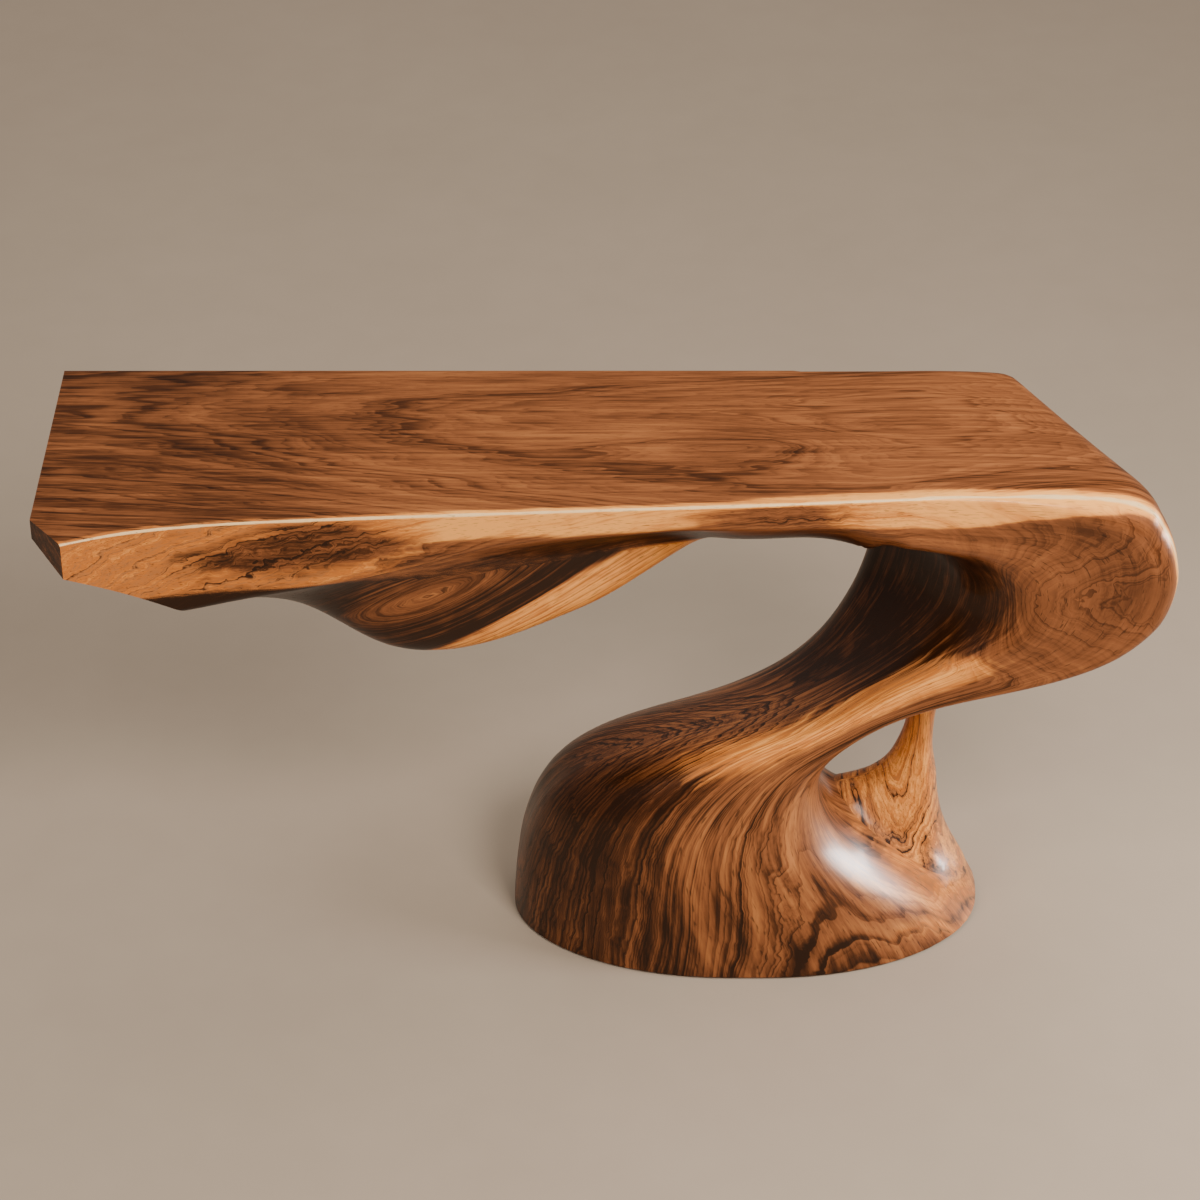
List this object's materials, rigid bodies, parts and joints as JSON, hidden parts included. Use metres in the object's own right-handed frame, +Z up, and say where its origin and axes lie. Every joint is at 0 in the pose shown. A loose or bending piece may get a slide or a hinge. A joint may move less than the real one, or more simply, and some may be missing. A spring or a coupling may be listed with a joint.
{
  "type": "live edge console table",
  "caption": "Walnut console table: a live-edged slab top rolls over at one end into a carved scroll and swept arm on a flared foot tied by a slim branch.",
  "frame": {"origin": "bottom centre of the box round the whole table, on the floor", "axes": "+X along the top towards the scroll, +Y towards the wall behind the straight edge, +Z up"},
  "size_m": [1.4792, 0.4302, 0.76],
  "materials": {
    "top_wood": "satin gloss lacquer",
    "carved_wood": "satin gloss lacquer",
    "plug_wood": "sanded, lacquered",
    "beech": "raw",
    "steel": "zinc plated",
    "brass": "turned",
    "felt": "pressed felt"
  },
  "bodies": {
    "root": {"top_slab": "top_wood", "keel_block": "carved_wood", "scroll_block": "carved_wood", "arm_block": "carved_wood", "foot_block": "carved_wood", "branch_strut": "carved_wood", "scroll_bolt_plugs": "plug_wood", "draw_rod_plugs": "plug_wood", "scroll_tenon_back": "beech", "scroll_tenon_middle": "beech", "scroll_tenon_front": "beech", "arm_tenon_back": "beech", "arm_tenon_front": "beech", "foot_tenon_left": "beech", "foot_tenon_right": "beech", "keel_dowels": "beech", "branch_dowel_low": "beech", "branch_dowel_high": "beech", "scroll_bolts": "steel", "scroll_bolt_washers": "steel", "draw_rods": "steel", "draw_rod_washers": "steel", "draw_rod_nuts": "steel", "scroll_bolt_inserts": "brass", "draw_rod_inserts": "brass", "floor_pads": "felt"}
  },
  "joints": []
}
